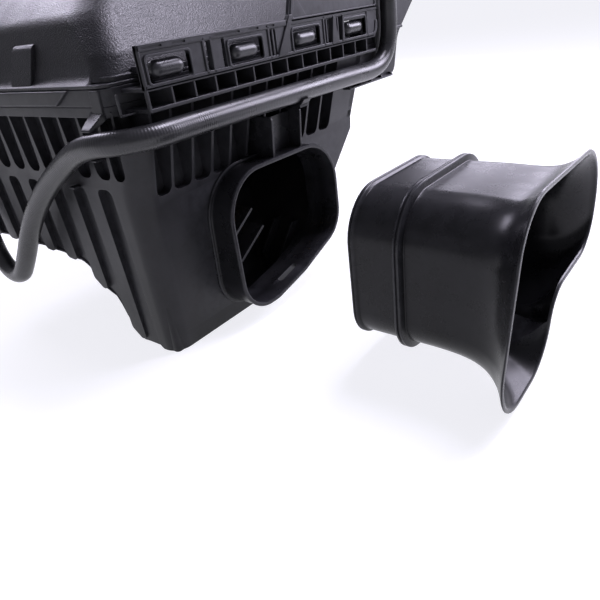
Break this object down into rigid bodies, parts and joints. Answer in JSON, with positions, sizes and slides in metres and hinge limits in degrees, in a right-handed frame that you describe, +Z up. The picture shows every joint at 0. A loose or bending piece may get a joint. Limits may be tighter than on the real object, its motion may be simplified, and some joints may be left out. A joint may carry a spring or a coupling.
{
  "type": "air filter housing",
  "caption": "Ribbed plastic air filter housing with a barrel-hinged cover, pleated panel filter, pull-out bell-mouth inlet duct and a breather hose round its corner.",
  "frame": {"origin": "middle of the flat sump floor that the housing stands on", "axes": "+X along the hinged front face to the right, +Y from the inlet face into the box, +Z up"},
  "size_m": [0.3804, 0.4688, 0.275],
  "materials": {
    "charcoal_plastic": "moulded charcoal plastic, satin",
    "grained_plastic": "finely grained charcoal plastic",
    "glossy_black": "blow-moulded black, semi-gloss",
    "hose_rubber": "black rubber, semi-gloss",
    "black_rubber": "matt black rubber",
    "filter_paper": "pleated filter paper",
    "seal_foam": "moulded urethane seal",
    "zinc_steel": "zinc plated",
    "brass": "knurled brass"
  },
  "bodies": {
    "tray": {"lower_housing": "charcoal_plastic", "filter_media": "filter_paper", "filter_seal": "seal_foam", "breather_hose": "hose_rubber", "hose_clamp_right": "zinc_steel", "hose_clamp_rear": "zinc_steel", "hose_clip": "charcoal_plastic", "screw_insert_1": "brass", "screw_insert_2": "brass", "screw_insert_3": "brass", "screw_insert_4": "brass", "rubber_foot_1": "black_rubber", "rubber_foot_2": "black_rubber", "lug_grommet": "black_rubber", "lug_sleeve": "zinc_steel"},
    "cover": {"upper_cover": "grained_plastic", "screw_sleeve_1": "zinc_steel", "screw_sleeve_2": "zinc_steel", "screw_sleeve_3": "zinc_steel", "screw_sleeve_4": "zinc_steel"},
    "duct": {"inlet_duct": "glossy_black"},
    "screw_1": {"lid_screw_1": "zinc_steel"},
    "screw_2": {"lid_screw_2": "zinc_steel"},
    "screw_3": {"lid_screw_3": "zinc_steel"},
    "screw_4": {"lid_screw_4": "zinc_steel"}
  },
  "joints": [
    {"name": "cover_hinge", "type": "hinge", "parent": "tray", "child": "cover", "pos_m": [0.075, -0.0406, 0.1877], "axis": [1, 0, 0], "range_deg": [0, 40]},
    {"name": "duct_slide", "type": "slide", "parent": "tray", "child": "duct", "axis": [0, 1, 0], "range_m": [0, 0.1204]},
    {"name": "screw_1_turn", "type": "hinge", "parent": "cover", "child": "screw_1", "pos_m": [-0.03, 0.221, 0.1906], "axis": [0, 0, 1], "range_deg": [0, 1440]},
    {"name": "screw_2_turn", "type": "hinge", "parent": "cover", "child": "screw_2", "pos_m": [0.075, 0.221, 0.1906], "axis": [0, 0, 1], "range_deg": [0, 1440]},
    {"name": "screw_3_turn", "type": "hinge", "parent": "cover", "child": "screw_3", "pos_m": [0.18, 0.221, 0.1906], "axis": [0, 0, 1], "range_deg": [0, 1440]},
    {"name": "screw_4_turn", "type": "hinge", "parent": "cover", "child": "screw_4", "pos_m": [0.211, 0.097, 0.1906], "axis": [0, 0, 1], "range_deg": [0, 1440]}
  ]
}
